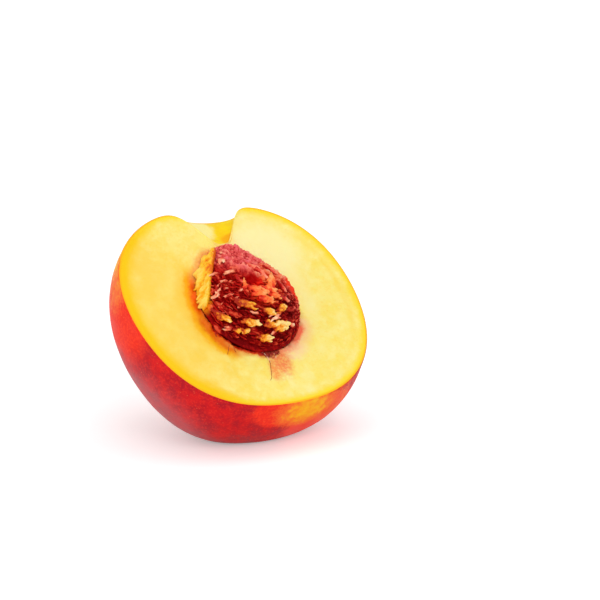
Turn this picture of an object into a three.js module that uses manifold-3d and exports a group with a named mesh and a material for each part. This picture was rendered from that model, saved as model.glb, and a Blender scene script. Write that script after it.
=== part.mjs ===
// Half a peach, cut through the stem end, with the stone left in it. It stands on a small flat spot
// low on its cheek, tilted back so that the cut face looks forwards and up.
//
// Everything is in millimetres. The fruit is shaped in its own axes, which start in the cut face:
// +X runs across the face, +Y towards the stem end and +Z out of the face, so the flesh is below Z = 0.
// Two groups then turn it into its resting position, where +Z is up.

import * as THREE from 'three';
import { mergeVertices } from 'three/addons/utils/BufferGeometryUtils.js';
import Module from 'manifold-3d';

const wasm = await Module();
wasm.setup();

// Outline of the cut face: its radius in the direction a, counted from the stem end towards +X.
const meanRadius = 35.3;
const stemEndLonger = 1.4;        // goes with cos a: longer towards the stem end
const crossWider = 1.1;           // goes with -cos 2a: wider across than along
const shoulder = 0.2;             // goes with -cos 3a
const squareness = 0.8;           // goes with -cos 4a: fuller at the four diagonals
const sideFuller = 0.1;           // goes with sin a: fuller on the +X side
const skewness = 0.8;             // goes with -sin 2a: fuller at the left shoulder and the right base

// The cheek behind the cut face.
const cheekDepth = 36.7;          // from the cut face to the back of the cheek
const girthDepth = 5.8;           // depth at which the half is widest
const cheekSlope = 0.167;         // how far the cheek leans to the blossom end for each mm of depth

// The stem cavity: an oval funnel that the cut runs through.
const cavityX = 2.76;             // middle of the funnel in the cut face
const cavityFloorY = 21.2;        // height of its floor, from the middle of the cut face
const cavityFloorRadius = 2.56;   // half width of the nearly flat floor
const cavityWallSlope = 1.96;     // rise of its wall for each mm away from the floor
const cavityFloorRounding = 0.8;
const cavityLipRounding = 4;
const cavityDepthShare = 0.588;   // its size into the fruit, as a share of its size across the face
const cavityTurn = 0.65;          // how far it drifts to +X for each mm of depth

// The stone: an egg, pointed at the blossom end, with its middle in the plane of the cut.
const stoneX = 0.7;
const stoneY = 4.85;
const stoneHalfWidth = 14.35;
const stoneHalfLength = 15.1;
const stoneHalfThickness = 8.2;
const stoneTaper = 0.23;          // how much wider it is towards the blossom end
const stoneTip = 0.335;           // how far its tip is drawn out, as a share of its half length
const stoneGap = 0.3;             // clearance between the stone and its socket

// The resting position.
const faceTurn = THREE.MathUtils.degToRad(31);     // about the upright axis
const faceTilt = THREE.MathUtils.degToRad(44.3);   // of the cut face, from level
const stemLean = THREE.MathUtils.degToRad(3.3);    // of the stem end, in the cut face
const facePosition = new THREE.Vector3(-0.5, -1.5, 37.2);   // from the middle of the flat spot

// Fineness of the surfaces.
const fruitColumns = 96;
const fruitRows = 50;
const columnCrowding = 0.45;      // draws the columns together at the stem cavity
const stoneColumns = 40;
const stoneRows = 28;
const roomAround = 120;           // size of the blocks that cut the fruit

function outlineRadius(a) {
  return meanRadius + stemEndLonger * Math.cos(a) - crossWider * Math.cos(2 * a)
    - shoulder * Math.cos(3 * a) - squareness * Math.cos(4 * a)
    + sideFuller * Math.sin(a) - skewness * Math.sin(2 * a);
}

// The height of the fruit's top surface over (x, depth), where without the cavity it would be y.
function withCavity(x, y, depth) {
  const across = x - cavityX - cavityTurn * depth;
  const outside = Math.hypot(across, depth / cavityDepthShare) - cavityFloorRadius;
  const wall = (outside + Math.hypot(outside, cavityFloorRounding)) / 2;
  const funnel = cavityFloorY + cavityWallSlope * wall;
  const low = Math.min(y, funnel);
  const high = Math.max(y, funnel);
  return low - cavityLipRounding * Math.log1p(Math.exp((low - high) / cavityLipRounding));
}

// A point of the whole fruit's skin for each point (x, y, z) of a unit ball.
function fruitSkin(x, y, z) {
  const around = Math.atan2(x, y);
  const a = around - columnCrowding * Math.sin(around);
  const backDepth = cheekDepth - girthDepth;
  const depth = girthDepth - backDepth * z;
  const faceShare = Math.sqrt(1 - (girthDepth / backDepth) ** 2);
  const radius = outlineRadius(a) * Math.hypot(x, y) / faceShare;
  const px = radius * Math.sin(a);
  const py = radius * Math.cos(a) - cheekSlope * depth;
  return [px, withCavity(px, py, Math.abs(depth)), -depth];
}

// A point of the stone for each point of a unit ball; the stone can be grown by a clearance.
function stoneSkin(x, y, z, growth) {
  const swell = 1 - stoneTaper * y;
  const drawnOut = stoneTip * ((1 - y) / 2) ** 3;
  return [
    stoneX + (stoneHalfWidth + growth) * x * swell,
    stoneY + (stoneHalfLength + growth) * (y - drawnOut),
    (stoneHalfThickness + growth) * z * swell,
  ];
}

// A closed geometry with only its shared corners, as cutting and joining need it.
function bare(geometry) {
  geometry.deleteAttribute('normal');
  geometry.deleteAttribute('uv');
  return mergeVertices(geometry);
}

function shapedBall(columns, rows, place) {
  const ball = bare(new THREE.SphereGeometry(1, columns, rows));
  const corners = ball.attributes.position;
  for (let i = 0; i < corners.count; i += 1) {
    corners.setXYZ(i, ...place(corners.getX(i), corners.getY(i), corners.getZ(i)));
  }
  return ball;
}

function solidOf(geometry) {
  return new wasm.Manifold(new wasm.Mesh({
    numProp: 3,
    vertProperties: new Float32Array(geometry.attributes.position.array),
    triVerts: new Uint32Array(geometry.index.array),
  }));
}

function meshOf(solid, name, look) {
  const { vertProperties, triVerts } = solid.getMesh();
  const geometry = new THREE.BufferGeometry();
  geometry.setAttribute('position', new THREE.BufferAttribute(vertProperties, 3));
  geometry.setIndex(new THREE.BufferAttribute(triVerts, 1));
  geometry.computeVertexNormals();
  const mesh = new THREE.Mesh(geometry, new THREE.MeshStandardMaterial(look));
  mesh.name = name;
  return mesh;
}

// The groups that turn the fruit's own axes into the resting position.
const resting = new THREE.Group();
resting.position.copy(facePosition);
resting.rotation.set(faceTilt, 0, faceTurn, 'ZXY');
const fruitAxes = new THREE.Group();
fruitAxes.rotation.z = stemLean;
resting.add(fruitAxes);
resting.updateMatrixWorld(true);

// The ball's poles lie along Y. The fruit has them at the back of its cheek instead, so Y and Z change places.
function wholeFruit() {
  return solidOf(shapedBall(fruitColumns, fruitRows, (x, y, z) => fruitSkin(x, -z, y)));
}

function stoneSolid(growth) {
  return solidOf(shapedBall(stoneColumns, stoneRows, (x, y, z) => stoneSkin(x, y, z, growth)));
}

// Everything in front of the cut face.
function otherHalf() {
  return solidOf(bare(new THREE.BoxGeometry(roomAround, roomAround, roomAround)
    .translate(0, 0, roomAround / 2)));
}

// Everything below the surface that the half stands on, seen in the fruit's own axes.
function belowRestingSpot() {
  const block = new THREE.BoxGeometry(roomAround, roomAround, roomAround)
    .translate(0, 0, -roomAround / 2)
    .applyMatrix4(fruitAxes.matrixWorld.clone().invert());
  return solidOf(bare(block));
}

function peachHalf() {
  const solid = wholeFruit()
    .subtract(otherHalf())
    .subtract(stoneSolid(stoneGap))
    .subtract(belowRestingSpot());
  return meshOf(solid, 'peach_half', { color: 0xf0a040, roughness: 0.5, metalness: 0 });
}

function stone() {
  return meshOf(stoneSolid(0), 'stone', { color: 0x8a2f22, roughness: 0.7, metalness: 0 });
}

fruitAxes.add(peachHalf(), stone());

const peach = new THREE.Group();
peach.add(resting);

export default peach;
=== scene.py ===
"""The looks of half a peach with its stone left in it.

Lengths are millimetres in the fruit's own axes, as in the CAD source: they start in the middle of the cut
face, +X runs across the face, +Y towards the stem end and +Z out of the face. in_part() turns such points
into the part's own frame, in metres. Colours are linear.
"""

import math

import bpy
import numpy as np
from mathutils import Matrix, Vector

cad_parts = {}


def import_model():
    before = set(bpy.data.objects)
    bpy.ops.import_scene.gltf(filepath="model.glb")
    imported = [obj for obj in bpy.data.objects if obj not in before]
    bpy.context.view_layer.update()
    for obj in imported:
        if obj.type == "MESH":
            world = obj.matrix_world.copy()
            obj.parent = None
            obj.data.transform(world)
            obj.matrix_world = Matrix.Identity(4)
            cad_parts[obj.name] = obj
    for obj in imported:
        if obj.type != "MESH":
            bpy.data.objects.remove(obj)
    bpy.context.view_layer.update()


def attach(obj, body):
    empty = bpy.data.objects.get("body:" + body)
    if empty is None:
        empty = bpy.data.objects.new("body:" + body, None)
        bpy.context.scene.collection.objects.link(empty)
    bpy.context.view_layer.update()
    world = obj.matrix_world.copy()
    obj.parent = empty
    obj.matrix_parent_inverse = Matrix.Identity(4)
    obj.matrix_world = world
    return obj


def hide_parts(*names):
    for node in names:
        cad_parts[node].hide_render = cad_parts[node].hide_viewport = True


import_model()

# ---- the shapes that the CAD model has too

MEAN_RADIUS = 35.3
STEM_END_LONGER = 1.4
CROSS_WIDER = 1.1
SHOULDER = 0.2
SQUARENESS = 0.8
SIDE_FULLER = 0.1
SKEWNESS = 0.8

CHEEK_DEPTH = 36.7
GIRTH_DEPTH = 5.8
CHEEK_SLOPE = 0.167

CAVITY_X = 2.76
CAVITY_FLOOR_Y = 21.2
CAVITY_FLOOR_RADIUS = 2.56
CAVITY_WALL_SLOPE = 1.96
CAVITY_FLOOR_ROUNDING = 0.8
CAVITY_LIP_ROUNDING = 4.0
CAVITY_DEPTH_SHARE = 0.588
CAVITY_TURN = 0.65

STONE_MIDDLE = np.array([0.7, 4.85, 0.0])
STONE_HALF = np.array([14.35, 15.1, 8.2])
STONE_TAPER = 0.23
STONE_TIP = 0.335

FACE_TURN = math.radians(31)
FACE_TILT = math.radians(44.3)
STEM_LEAN = math.radians(3.3)
FACE_POSITION = (-0.5, -1.5, 37.2)

MM = 0.001

FRUIT_TO_PART = (
    Matrix.Scale(MM, 4)
    @ Matrix.Translation(FACE_POSITION)
    @ Matrix.Rotation(FACE_TURN, 4, "Z")
    @ Matrix.Rotation(FACE_TILT, 4, "X")
    @ Matrix.Rotation(STEM_LEAN, 4, "Z")
)


def moved(points, matrix):
    m = np.array(matrix)
    return points @ m[:3, :3].T + m[:3, 3]


def in_part(points):
    return moved(points, FRUIT_TO_PART)


def unit(vectors):
    return vectors / np.linalg.norm(vectors, axis=-1, keepdims=True)


def outline_radius(a):
    return (
        MEAN_RADIUS
        + STEM_END_LONGER * np.cos(a)
        - CROSS_WIDER * np.cos(2 * a)
        - SHOULDER * np.cos(3 * a)
        - SQUARENESS * np.cos(4 * a)
        + SIDE_FULLER * np.sin(a)
        - SKEWNESS * np.sin(2 * a)
    )


def with_cavity(x, y, depth):
    """The height of the top surface over (x, depth), where without the stem cavity it would be y."""
    across = x - CAVITY_X - CAVITY_TURN * depth
    outside = np.hypot(across, depth / CAVITY_DEPTH_SHARE) - CAVITY_FLOOR_RADIUS
    wall = (outside + np.hypot(outside, CAVITY_FLOOR_ROUNDING)) / 2
    funnel = CAVITY_FLOOR_Y + CAVITY_WALL_SLOPE * wall
    return -CAVITY_LIP_ROUNDING * np.logaddexp(-y / CAVITY_LIP_ROUNDING, -funnel / CAVITY_LIP_ROUNDING)


def skin_point(a, depth):
    """Points of the skin at the angle a from the stem end, that far behind the cut face.

    The second value is how deep the stem cavity cut them.
    """
    back = CHEEK_DEPTH - GIRTH_DEPTH
    ring = np.sqrt(np.maximum(1 - ((depth - GIRTH_DEPTH) / back) ** 2, 0))
    radius = outline_radius(a) * ring / math.sqrt(1 - (GIRTH_DEPTH / back) ** 2)
    x = radius * np.sin(a)
    y = radius * np.cos(a) - CHEEK_SLOPE * depth
    cut = with_cavity(x, y, depth)
    return np.stack([x, cut, -depth + 0 * x], -1), y - cut


def stone_point(ball, growth=0.0):
    """Points of the smooth stone for points of a unit ball."""
    swell = 1 - STONE_TAPER * ball[..., 1]
    drawn_out = STONE_TIP * ((1 - ball[..., 1]) / 2) ** 3
    shaped = np.stack([ball[..., 0] * swell, ball[..., 1] - drawn_out, ball[..., 2] * swell], -1)
    return shaped * (STONE_HALF + growth) + STONE_MIDDLE


def towards_stone(points):
    """The unit ball's points whose stone points lie under the given ones."""
    b = np.linspace(-1, 1, 400)
    along = b - STONE_TIP * ((1 - b) / 2) ** 3
    offset = (points - STONE_MIDDLE) / STONE_HALF
    y = np.interp(offset[..., 1], along, b)
    swell = 1 - STONE_TAPER * y
    return np.stack([offset[..., 0] / swell, y, offset[..., 2] / swell], -1)


def on_stone(points):
    """The points brought onto the smooth stone, and the stone's outward directions there."""
    ball = unit(towards_stone(points))
    swell = 1 - STONE_TAPER * ball[..., 1]
    outwards = ball / STONE_HALF / np.stack([swell, np.ones_like(swell), swell], -1)
    return stone_point(ball), unit(outwards)


def stone_front(x, y):
    """The point of the smooth stone in front of (x, y) on the cut face."""
    ball = towards_stone(np.array([x, y, 0.0]))
    ball[2] = math.sqrt(max(0.0, 1 - ball[0] ** 2 - ball[1] ** 2))
    return stone_point(ball)


def to_segment(points, a, b):
    """How far points are from the line from a to b, and the share of the line at which each is nearest."""
    share = np.clip(((points - a) @ (b - a)) / ((b - a) @ (b - a)), 0, 1)
    return np.linalg.norm(points - a - share[..., None] * (b - a), axis=-1), share


# ---- noise for the relief of meshes


def lattice(cells, seed):
    """A repeatable random number from 0 to 1 for each whole-numbered lattice point."""
    mask = 0xFFFFFFFF
    n = cells[..., 0] * 374761393 + cells[..., 1] * 668265263 + cells[..., 2] * 1440662683
    n = (n + seed * 1274126177) & mask
    n = ((n ^ (n >> 13)) * 1274126177) & mask
    n = ((n ^ (n >> 15)) * 2246822519) & mask
    return ((n ^ (n >> 16)) & mask) / mask


def soft_noise(points, size, seed):
    """Smooth noise from -1 to 1 whose bumps are about size across; size is a number or one for each axis."""
    p = points / size
    cell = np.floor(p).astype(np.int64)
    f = p - cell
    f = f * f * f * (f * (f * 6 - 15) + 10)
    total = np.zeros(p.shape[:-1])
    for corner in np.ndindex(2, 2, 2):
        weight = np.ones(p.shape[:-1])
        for axis in range(3):
            weight = weight * (f[..., axis] if corner[axis] else 1 - f[..., axis])
        total += weight * lattice(cell + np.array(corner), seed)
    return 2 * total - 1


def waves(points, table):
    """A sum of noises; the table has the height, the size and the seed of each."""
    return sum(height * soft_noise(points, size, seed) for height, size, seed in table)


def sunken_waves(points, table):
    """The same, but never above 0."""
    return waves(points, table) - sum(height for height, _, _ in table)


def shift(points, size, seed):
    """Noise for each of the three axes."""
    return np.stack([soft_noise(points, size, seed + k) for k in range(3)], -1)


def cell_noise(points, size, seed):
    """Distances to the nearest and second nearest of scattered points, as shares of their spacing, size."""
    p = points / size
    cell = np.floor(p).astype(np.int64)
    first = np.full(p.shape[:-1], 9.0)
    second = np.full(p.shape[:-1], 9.0)
    for step in np.ndindex(3, 3, 3):
        neighbour = cell + np.array(step) - 1
        place = neighbour + np.stack([lattice(neighbour, seed + k) for k in range(3)], -1)
        d = np.linalg.norm(p - place, axis=-1)
        second = np.minimum(second, np.maximum(first, d))
        first = np.minimum(first, d)
    return first, second


def smooth_step(low, high, value):
    t = np.clip((value - low) / (high - low), 0, 1)
    return t * t * (3 - 2 * t)


# ---- making objects


def closed_faces(rows, columns, first=0, inside_out=False):
    """Faces of a closed skin: a grid whose rows close on themselves, with a pole at each end.

    Its points are numbered from first, row by row, and the two poles come after them.
    """
    corner = first + np.arange(rows * columns).reshape(rows, columns)
    beside = np.roll(corner, -1, axis=1)
    pole = np.full(columns, first + rows * columns)
    start = np.stack([beside[0], corner[0], pole], -1)
    grid = np.stack([corner[:-1], beside[:-1], beside[1:], corner[1:]], -1).reshape(-1, 4)
    end = np.stack([corner[-1], beside[-1], pole + 1], -1)
    faces = start.tolist() + grid.tolist() + end.tolist()
    return [face[::-1] for face in faces] if inside_out else faces


def add_object(name, data):
    obj = bpy.data.objects.new(name, data)
    bpy.context.scene.collection.objects.link(obj)
    return obj


def make_object(name, points, faces, materials, material_of_face=None, **attributes):
    """A smooth-shaded mesh; points are in the fruit's axes and attributes are kept for its material."""
    mesh = bpy.data.meshes.new(name)
    mesh.from_pydata(in_part(points).tolist(), [], faces)
    mesh.polygons.foreach_set("use_smooth", np.ones(len(mesh.polygons), bool))
    for material in materials:
        mesh.materials.append(material)
    if material_of_face is not None:
        mesh.polygons.foreach_set("material_index", material_of_face)
    place = mesh.attributes.new("fruit", "FLOAT_VECTOR", "POINT")
    place.data.foreach_set("vector", points.astype(np.float32).ravel())
    for key, values in attributes.items():
        attribute = mesh.attributes.new(key, "FLOAT", "POINT")
        attribute.data.foreach_set("value", values.astype(np.float32).ravel())
    mesh.update()
    return add_object(name, mesh)


# ---- materials

WHITE = (1, 1, 1)


class Nodes:
    """Nodes put together by short calls. A value is a number, a colour or a socket."""

    def __init__(self, owner):
        owner.use_nodes = True
        self.tree = owner.node_tree

    def put(self, socket, value):
        if isinstance(value, bpy.types.NodeSocket):
            self.tree.links.new(value, socket)
        elif socket.type == "RGBA":
            socket.default_value = (*value, 1.0)
        else:
            socket.default_value = value

    def fill(self, node, **sockets):
        """Sets inputs by their names, in which _ stands for a space."""
        for name, value in sockets.items():
            self.put(node.inputs[name.replace("_", " ")], value)
        return node

    def node(self, kind, *values, **settings):
        """A new node with these settings, and these values of its first inputs."""
        node = self.tree.nodes.new("ShaderNode" + kind)
        for key, value in settings.items():
            setattr(node, key, value)
        for socket, value in zip(node.inputs, values):
            self.put(socket, value)
        return node

    def math(self, operation, *values):
        return self.node("Math", *values, operation=operation).outputs[0]

    def times(self, first, *others):
        for other in others:
            first = self.math("MULTIPLY", first, other)
        return first

    def plus(self, first, *others):
        for other in others:
            first = self.math("ADD", first, other)
        return first

    def wobble(self, noise, amount=1.0):
        """Noise moved to both sides of 0."""
        return self.times(self.math("SUBTRACT", noise, 0.5), amount)

    def length(self, vector):
        return self.node("VectorMath", vector, operation="LENGTH").outputs["Value"]

    def step(self, value, low, high, to_low=0.0, to_high=1.0):
        """A smooth change from to_low to to_high as value goes from low to high; low may be above high."""
        if low > high:
            low, high, to_low, to_high = high, low, to_high, to_low
        node = self.node("MapRange", value, low, high, to_low, to_high, interpolation_type="SMOOTHSTEP")
        return node.outputs[0]

    def mix(self, share, a, b):
        node = self.node("Mix", data_type="RGBA")
        for socket, value in zip((0, 6, 7), (share, a, b)):
            self.put(node.inputs[socket], value)
        return node.outputs[2]


class Paint(Nodes):
    """The nodes of a material that depends on the place on the fruit."""

    def __init__(self, name):
        self.material = bpy.data.materials.new(name)
        super().__init__(self.material)
        self.place = self.attribute("fruit", "Vector")

    def attribute(self, name, output="Fac"):
        return self.node("Attribute", attribute_name=name).outputs[output]

    def scaled(self, size, stretch=(1, 1, 1), offset=0.0):
        scale = tuple(1 / (size * s) for s in stretch)
        node = self.node("VectorMath", self.place, scale, (offset,) * 3, operation="MULTIPLY_ADD")
        return node.outputs[0]

    def noise(self, size, detail=3.0, roughness=0.5, **where):
        """Noise from 0 to 1 whose bumps are about size across."""
        node = self.node("TexNoise")
        self.fill(node, Vector=self.scaled(size, **where), Scale=1.0, Detail=detail, Roughness=roughness)
        return node.outputs["Fac"]

    def cells(self, size):
        """The distance to the nearest of scattered points, as a share of size, their spacing."""
        return self.fill(self.node("TexVoronoi"), Vector=self.scaled(size), Scale=1.0).outputs["Distance"]

    def spot(self, centre, radius, stretch=(1, 1, 1), ragged=0.0, ragged_size=4.0):
        """1 at a point of the fruit, falling to 0 at the radius; its edge can be made ragged."""
        away = self.node("VectorMath", self.place, centre, operation="SUBTRACT").outputs[0]
        scale = tuple(1 / s for s in stretch)
        distance = self.length(self.node("VectorMath", away, scale, operation="MULTIPLY").outputs[0])
        if ragged:
            distance = self.plus(distance, self.wobble(self.noise(ragged_size, 4.0, 0.6), 2 * ragged))
        return self.step(distance, radius, 0.0)

    def patch(self, colour, over, centre, radius, low=0.0, high=0.5, share=1.0, **edge):
        """A colour with another laid over it in a spot, from where the spot is low to where it is high."""
        return self.mix(self.step(self.spot(centre, radius, **edge), low, high, 0.0, share), colour, over)

    def bump(self, height, strength, distance, **normal):
        node = self.node("Bump")
        self.fill(node, Strength=strength, Distance=distance * MM, Height=height, **normal)
        return node.outputs[0]

    def finish(self, **sockets):
        self.fill(self.tree.nodes["Principled BSDF"], **sockets)
        return self.material


def skin_material():
    p = Paint("skin")
    grain = p.noise(0.7, roughness=0.6)
    blotches = p.noise(5.0, 5.0, 0.6, offset=7.0)
    wisps = p.noise(2.2, 5.0, 0.65, offset=11.0)
    blush = p.mix(p.step(blotches, 0.35, 0.65), (0.45, 0.007, 0.016), (0.69, 0.011, 0.013))
    blush = p.mix(p.step(grain, 0.45, 0.68, 0.0, 0.5), blush, (0.88, 0.032, 0.016))
    # Brighter red on the left cheek, under the blossom end and to the right of it.
    left = p.step(p.spot((-38, 8, -3), 20, ragged=3.0), 0.05, 0.5)
    below = p.step(p.spot((-4, -34, -3), 12.5, (1.1, 1, 0.7), ragged=3.0), 0.08, 0.45)
    bright = p.mix(p.step(grain, 0.40, 0.64), (0.90, 0.026, 0.012), (0.98, 0.048, 0.014))
    colour = p.mix(p.math("MAXIMUM", left, below), blush, bright)
    colour = p.patch(colour, (0.96, 0.062, 0.030), (12, -34, -12), 17, 0.0, 0.45, ragged=3.5, ragged_size=3.0)
    # The ground colour shows at the shoulders, round the stem cavity and in a patch beside the blossom end.
    ground = 0.0
    for centre, radius, stretch, share in (
        ((4.9, -33.8, -3.6), 15, (1.12, 1, 0.70), 1.04),
        ((14.0, -32, -5), 17, (1.1, 1, 1), 0.42),
        ((-35, 17, -2), 16, (1, 1, 1), 0.55),
        ((-30, 26, -3), 16, (1, 1, 1), 1.0),
        ((3, 34, -7), 27, (1.2, 1, 1), 1.15),
    ):
        ground = p.math("MAXIMUM", ground, p.times(p.spot(centre, radius, stretch), share))
    mottle = p.plus(p.wobble(wisps), p.wobble(grain, 0.6))
    ground = p.plus(ground, p.times(mottle, p.step(ground, 0.0, 0.4, 0.0, 0.9)))
    colour = p.mix(p.step(ground, 0.12, 0.52), colour, (0.97, 0.155, 0.022))
    yellow = p.mix(p.step(wisps, 0.35, 0.65), (0.98, 0.34, 0.006), (0.99, 0.50, 0.010))
    colour = p.mix(p.step(ground, 0.45, 0.95), colour, yellow)
    # Inside the stem cavity it is yellow, pale on the left wall and orange at the right end of the floor.
    inside = p.mix(p.step(wisps, 0.3, 0.7), (0.96, 0.61, 0.001), (0.97, 0.72, 0.004))
    inside = p.patch(inside, (0.99, 0.87, 0.30), (-3, 30, -3), 10, 0.06, 0.36, ragged=2.2, ragged_size=3.0)
    inside = p.patch(inside, (0.95, 0.40, 0.002), (6.2, 23.0, -1.6), 4.0, 0.0, 0.6, 0.8, ragged=0.6)
    lip = p.step(p.spot((-2, 28.5, 0), 10, (1, 1, 0.3)), 0.0, 0.5)
    colour = p.mix(p.math("MAXIMUM", p.step(p.attribute("carved"), 0.4, 3.0), lip), colour, inside)
    # Pale down low on the left cheek, a painted sheen where its fuzz catches the light, and fine pale
    # speckles.
    down = p.step(p.spot((-30, -14, -30), 31, ragged=3.0), 0.0, 1.0)
    colour = p.mix(p.math("MINIMUM", down, 0.42), colour, (0.46, 0.20, 0.22))
    colour = p.mix(p.step(p.cells(1.7), 0.12, 0.05, 0.0, 0.3), colour, (0.95, 0.30, 0.12))
    pores = p.bump(p.cells(0.8), 0.25, 0.05)
    return p.finish(
        Base_Color=colour, Roughness=p.step(blotches, 0.3, 0.7, 0.42, 0.54), Specular_IOR_Level=0.08,
        Normal=p.bump(p.noise(3.0), 0.4, 0.12, Normal=pores),
        Sheen_Weight=0.06, Sheen_Roughness=0.18, Sheen_Tint=(1.0, 0.8, 0.8),
    )


def flesh_material():
    p = Paint("flesh")
    from_rim = p.attribute("from_rim")
    cloud = p.noise(7.0)
    wisps = p.noise(2.5, 4.0, 0.6, offset=3.0)
    fine = p.noise(0.7, roughness=0.6, offset=5.0)

    # Cream, deeper on the left and paler on the right, with whitish clouds and, near the blossom end, streaks
    # from the stone outwards.
    left = p.spot((-45, 0, 0), 64)
    right = p.step(left, 0.6, 0.12)
    colour = p.mix(right, (0.95, 0.65, 0.095), (0.95, 0.755, 0.145))
    cloudy = p.times(p.step(cloud, 0.38, 0.70), p.math("MULTIPLY_ADD", right, 0.5, 0.4))
    colour = p.mix(cloudy, colour, (0.95, 0.81, 0.25))
    colour = p.mix(p.step(fine, 0.50, 0.70, 0.0, 0.35), colour, (0.95, 0.64, 0.06))
    whitish = p.times(p.step(wisps, 0.44, 0.70), p.step(left, 0.7, 0.15, 0.06, 0.5))
    colour = p.mix(whitish, colour, (0.97, 0.86, 0.34))
    colour = p.patch(colour, (0.97, 0.87, 0.42), (14, 16, 0), 18, 0.0, 0.7, 0.85, ragged=2.0)
    colour = p.patch(
        colour, (0.97, 0.84, 0.34), (18.5, 1.5, 0), 10, 0.0, 0.7, 0.6, stretch=(0.6, 1.4, 1), ragged=1.0
    )
    near_blossom = p.step(p.spot((0, -27.5, 0), 10, (2.0, 0.9, 1)), 0.0, 0.5)
    streaks = p.times(p.step(p.attribute("streaks"), 0.45, 0.8), near_blossom, 0.5)
    colour = p.mix(streaks, colour, (0.95, 0.85, 0.36))

    # The flesh is deeper yellow towards the skin, with a thin orange line at the skin itself.
    rim = p.plus(from_rim, p.wobble(wisps, 1.4))
    wide = p.step(left, 0.15, 0.6, 3.0, 6.0)
    band = p.mix(p.step(left, 0.15, 0.5), (0.95, 0.71, 0.030), (0.95, 0.585, 0.002))
    at_cavity = p.step(p.spot((2.8, 29, 0), 15), 0.05, 0.45, 1.0, 0.15)
    band_share = p.times(p.step(p.math("DIVIDE", rim, wide), 1.0, 0.25), at_cavity)
    colour = p.mix(band_share, colour, band)
    colour = p.mix(p.times(p.step(from_rim, 0.9, 0.3, 0.0, 0.8), at_cavity), colour, (0.95, 0.46, 0.004))
    # A ring of vessels runs inside the right rim.
    off_ring = p.math("ABSOLUTE", p.math("SUBTRACT", rim, 4.4))
    ring = p.times(p.step(off_ring, 1.6, 0.0), p.spot((34, 0, 0), 34), 0.4)
    colour = p.mix(ring, colour, (0.95, 0.65, 0.05))

    # Orange and red where it clung to the stone, most of all on the left, and pink to the right of its tip;
    # at the stone's lower-left edge a painted shade darkens the flesh to deep red.
    # Each stain has the distances from the stone between which it grows, its share, its spot and its colour.
    from_stone = p.plus(p.attribute("from_stone"), p.wobble(wisps, 1.8), p.wobble(fine, 1.2))
    everywhere = dict(centre=(0, 0, 0), radius=1000)
    beside = dict(centre=(-18, 4, 0), radius=17, stretch=(0.8, 1.1, 1))
    glow = dict(centre=(-14.2, -7.6, 0), radius=11, ragged=1.2)
    shaded_edge = dict(centre=(-9, -13, 0), radius=17)
    blush = dict(centre=(10.5, -11.5, 0), radius=9.5, ragged=1.0)
    for far, near, share, spot, stain in (
        (8.0, 4.2, 0.80, beside, (0.95, 0.57, 0.05)),
        (5.0, 3.4, 1.00, beside, (0.95, 0.42, 0.003)),
        (3.4, 1.4, 1.00, beside, (0.88, 0.125, 0.001)),
        (5.8, 3.8, 1.00, glow, (0.94, 0.45, 0.002)),
        (4.2, 2.0, 1.00, glow, (0.80, 0.155, 0.002)),
        (3.2, 0.8, 0.90, dict(centre=(-8, 17, 0), radius=11), (0.94, 0.42, 0.09)),
        (2.4, 0.6, 0.90, dict(centre=(-6.5, -14.5, 0), radius=11), (0.93, 0.36, 0.07)),
        (0.9, 0.0, 0.60, everywhere, (0.88, 0.24, 0.05)),
        # Painted shade along the stone's lower-left edge, where its flank meets the flesh.
        (1.2, 0.5, 1.00, shaded_edge, (0.70, 0.06, 0.003)),
        (0.6, 0.2, 1.00, shaded_edge, (0.44, 0.010, 0.002)),
        (6.5, 1.0, 0.75, blush, (0.95, 0.52, 0.28)),
        (2.3, 0.9, 0.95, dict(centre=(10.6, -12.2, 0), radius=6.0), (0.90, 0.13, 0.06)),
    ):
        inside = p.step(p.spot(**spot, ragged_size=2.0), 0.0, 0.5)
        colour = p.mix(p.times(p.step(from_stone, far, near), inside, share), colour, stain)
    # Marks where the stone's tip points, and a yellow one beside the stem cavity.
    mottle = p.step(fine, 0.33, 0.60, 0.58, 1.08)
    for centre, radius, stretch, share, mark in (
        ((6.4, -16.6, 0), 5.2, (1.4, 0.9, 1), 0.75, (0.97, 0.66, 0.34)),
        ((4.4, -15.2, 0), 4.6, (1.5, 0.6, 1), 0.90, (0.96, 0.33, 0.17)),
        ((1.4, -18.6, 0), 6.4, (0.85, 1.25, 1), 0.90, (0.90, 0.235, 0.075)),
        ((-2.0, -21.6, 0), 4.0, (0.6, 1.2, 1), 0.85, (0.93, 0.30, 0.07)),
        ((-0.8, -15.6, 0), 3.4, (1.2, 0.7, 1), 1.00, (0.30, 0.018, 0.022)),
        ((-2.5, 23.0, 0), 5.0, (1.0, 1.0, 1), 0.80, (0.97, 0.84, 0.22)),
    ):
        spot = p.step(p.spot(centre, radius, stretch, ragged=1.5, ragged_size=1.2), 0.0, 0.8, 0.0, share)
        colour = p.mix(p.times(spot, mottle), colour, mark)
    return p.finish(
        Base_Color=colour, Roughness=p.step(wisps, 0.3, 0.7, 0.38, 0.5), Normal=p.bump(fine, 0.2, 0.08),
        Specular_IOR_Level=0.12, Subsurface_Weight=0.12, Subsurface_Radius=(1.0, 0.5, 0.15),
        Subsurface_Scale=1.2 * MM,
    )


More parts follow.
